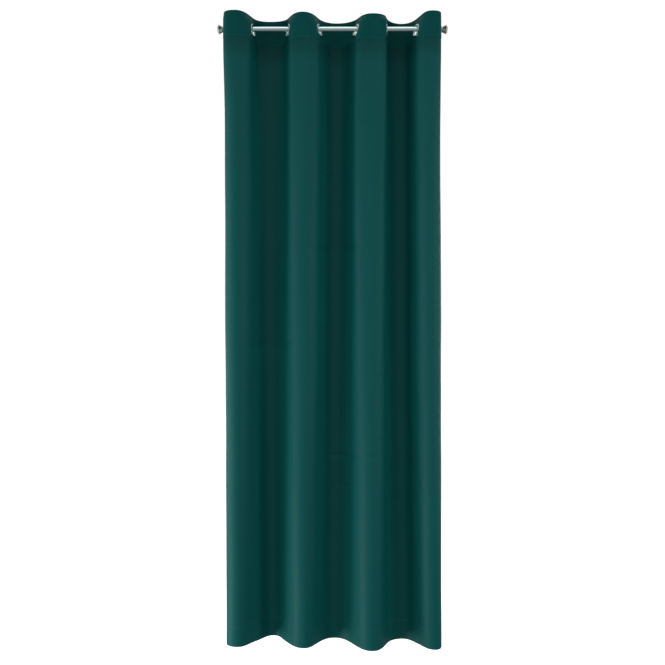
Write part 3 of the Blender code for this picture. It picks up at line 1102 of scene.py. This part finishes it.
class CURTAIN_OT_stitch_seams(bpy.types.Operator):
    """Stitches the heading's seam, the bottom hem and the side hems"""

    bl_idname = "curtain.stitch_seams"
    bl_label = "Stitch the seams"

    def execute(self, context):
        thread = context.scene.curtain_stitch
        cloth = context.scene.curtain_cloth
        heading = context.scene.curtain_heading
        finish = thread_material(thread)
        in_heading = (heading_form, heading, *heading_grid(heading))
        in_panel = (panel_form, cloth, *panel_grid(cloth))
        runs = seam_runs(*in_heading, HEADING_BOTTOM_Z + heading.seam_inset, True)
        heading_stitches = stitch_object("heading_stitches", runs, thread, finish)
        runs = seam_runs(*in_panel, HEM_Z + cloth.hem_depth - SEAM_INSET, True)
        hem_stitches = stitch_object("hem_stitches", runs, thread, finish)
        side_seam = cloth.side_hem - SEAM_INSET
        runs = seam_runs(*in_panel, side_seam, False) + seam_runs(*in_panel, CLOTH_WIDTH - side_seam, False)
        side_stitches = stitch_object("side_hem_stitches", runs, thread, finish)
        dress(heading_stitches, "heading_cloth")
        dress(hem_stitches, "cloth")
        dress(side_stitches, "cloth")
        return {"FINISHED"}


class CURTAIN_OT_set_studio(bpy.types.Operator):
    """Sets up the floor, the backdrop, the lights and the camera"""

    bl_idname = "curtain.set_studio"
    bl_label = "Set up the studio"

    def execute(self, context):
        scene = context.scene
        settings = scene.curtain_studio
        self.add_sweep(settings)
        self.add_sky(scene, settings)
        self.add_lights(settings)
        self.add_camera(scene, settings)
        return {"FINISHED"}

    def add_sweep(self, settings):
        """A round floor that curves up into a wall all round."""
        floor_z = HEM_Z - settings.floor_drop
        curve_radius = 1.5
        outline = [(0.0, floor_z)]
        for turn in np.linspace(0.0, math.pi / 2, 17):
            radius = settings.sweep_radius - curve_radius * (1 - math.sin(turn))
            outline.append((radius, floor_z + curve_radius * (1 - math.cos(turn))))
        outline.append((settings.sweep_radius, floor_z + settings.sweep_height))
        mesh = turned_mesh("studio_sweep", outline, 128, backdrop_material(settings))
        sweep = new_object("studio_sweep", mesh)
        sweep.visible_diffuse = False
        sweep.visible_glossy = False
        sweep.visible_shadow = False

    def add_sky(self, scene, settings):
        """A bright ceiling with dim sides and floor."""
        scene.world = bpy.data.worlds.new("studio_light")
        scene.world.use_nodes = True
        tree = scene.world.node_tree
        calc = partial(math_node, tree)
        generated = add_node(tree, "TexCoord", {}).outputs["Generated"]
        split = add_node(tree, "SeparateXYZ", {0: generated}).outputs
        height = calc("MULTIPLY_ADD", split["Z"], 0.5, 0.5)
        flat = calc("SUBTRACT", 1.0001, calc("MULTIPLY", split["Z"], split["Z"]))
        share = calc("DIVIDE", calc("MULTIPLY", split["X"], split["X"]), flat)
        total = calc("MULTIPLY", share, level_ramp(tree, height, settings.light_sides))
        for sign, levels in ((-1.0, settings.light_front), (1.0, settings.light_back)):
            toward = calc("MAXIMUM", calc("MULTIPLY", split["Y"], sign), 0.0)
            share = calc("DIVIDE", calc("MULTIPLY", toward, toward), flat)
            total = calc("MULTIPLY_ADD", share, level_ramp(tree, height, levels), total)
        feed(tree, tree.nodes["Background"], {"Color": (1.0, 1.0, 1.0, 1.0), "Strength": total})

    def add_lights(self, settings):
        """A wide front light that no metal mirrors, and tall soft lights all round."""
        place = (0.0, -settings.camera_distance - 0.2, FRONT_LIGHT_Z)
        target = (0.0, 0.0, FRONT_LIGHT_Z)
        front = soft_light("front_light", place, target, *FRONT_LIGHT_SIZE, settings.front_power)
        front.visible_glossy = False
        for light in LIGHTS:
            x, y = settings.light_distance * direction(-90 - light.turn)
            power = light.power * settings.strength
            target = (0.0, 0.0, light.z)
            soft_light(light.name, (x, y, light.z), target, LIGHT_WIDTH, light.height, power)

    def add_camera(self, scene, settings):
        """A level camera on the photograph's viewing line, with its frame."""
        data = bpy.data.cameras.new("room_camera")
        data.lens = data.sensor_width * settings.camera_distance / METRES_PER_PX / PHOTO_SIDE_PX
        data.shift_y = (LEVEL_ROW_PX - PHOTO_MIDDLE_PX) / PHOTO_SIDE_PX
        camera = new_object("room_camera", data)
        camera.location = (0.0, -settings.camera_distance, (ROD_ROW_PX - LEVEL_ROW_PX) * METRES_PER_PX)
        camera.rotation_euler = (math.radians(90), 0.0, 0.0)
        scene.camera = camera
        scene.view_settings.view_transform = "Standard"


class VIEW3D_PT_curtain(bpy.types.Panel):
    """Lists the curtain's steps with the sizes and colours that each one uses"""

    bl_label = "Curtain"
    bl_idname = "VIEW3D_PT_curtain"
    bl_space_type = "VIEW_3D"
    bl_region_type = "UI"
    bl_category = "Curtain"

    def draw(self, context):
        for operator, name, group in STEPS:
            box = self.layout.box()
            box.operator(operator.bl_idname)
            for setting in group.__annotations__:
                box.prop(getattr(context.scene, name), setting)


# The operators in the order in which they run, each with the name and class of its settings
STEPS = (
    (CURTAIN_OT_cut_rod, "curtain_rod", CurtainRodSettings),
    (CURTAIN_OT_fit_knobs, "curtain_knob", CurtainKnobSettings),
    (CURTAIN_OT_press_rings, "curtain_ring", CurtainRingSettings),
    (CURTAIN_OT_sew_heading, "curtain_heading", CurtainHeadingSettings),
    (CURTAIN_OT_hang_cloth, "curtain_cloth", CurtainClothSettings),
    (CURTAIN_OT_stitch_seams, "curtain_stitch", CurtainStitchSettings),
    (CURTAIN_OT_set_studio, "curtain_studio", CurtainStudioSettings),
)


def register():
    for operator, name, group in STEPS:
        bpy.utils.register_class(group)
        setattr(bpy.types.Scene, name, PointerProperty(type=group))
        bpy.utils.register_class(operator)
    bpy.utils.register_class(VIEW3D_PT_curtain)


def unregister():
    bpy.utils.unregister_class(VIEW3D_PT_curtain)
    for operator, name, group in reversed(STEPS):
        bpy.utils.unregister_class(operator)
        delattr(bpy.types.Scene, name)
        bpy.utils.unregister_class(group)


def main():
    register()
    bpy.ops.curtain.cut_rod()
    bpy.ops.curtain.fit_knobs()
    bpy.ops.curtain.press_rings()
    bpy.ops.curtain.sew_heading()
    bpy.ops.curtain.hang_cloth()
    bpy.ops.curtain.stitch_seams()
    bpy.ops.curtain.set_studio()


if __name__ == "__main__":
    main()
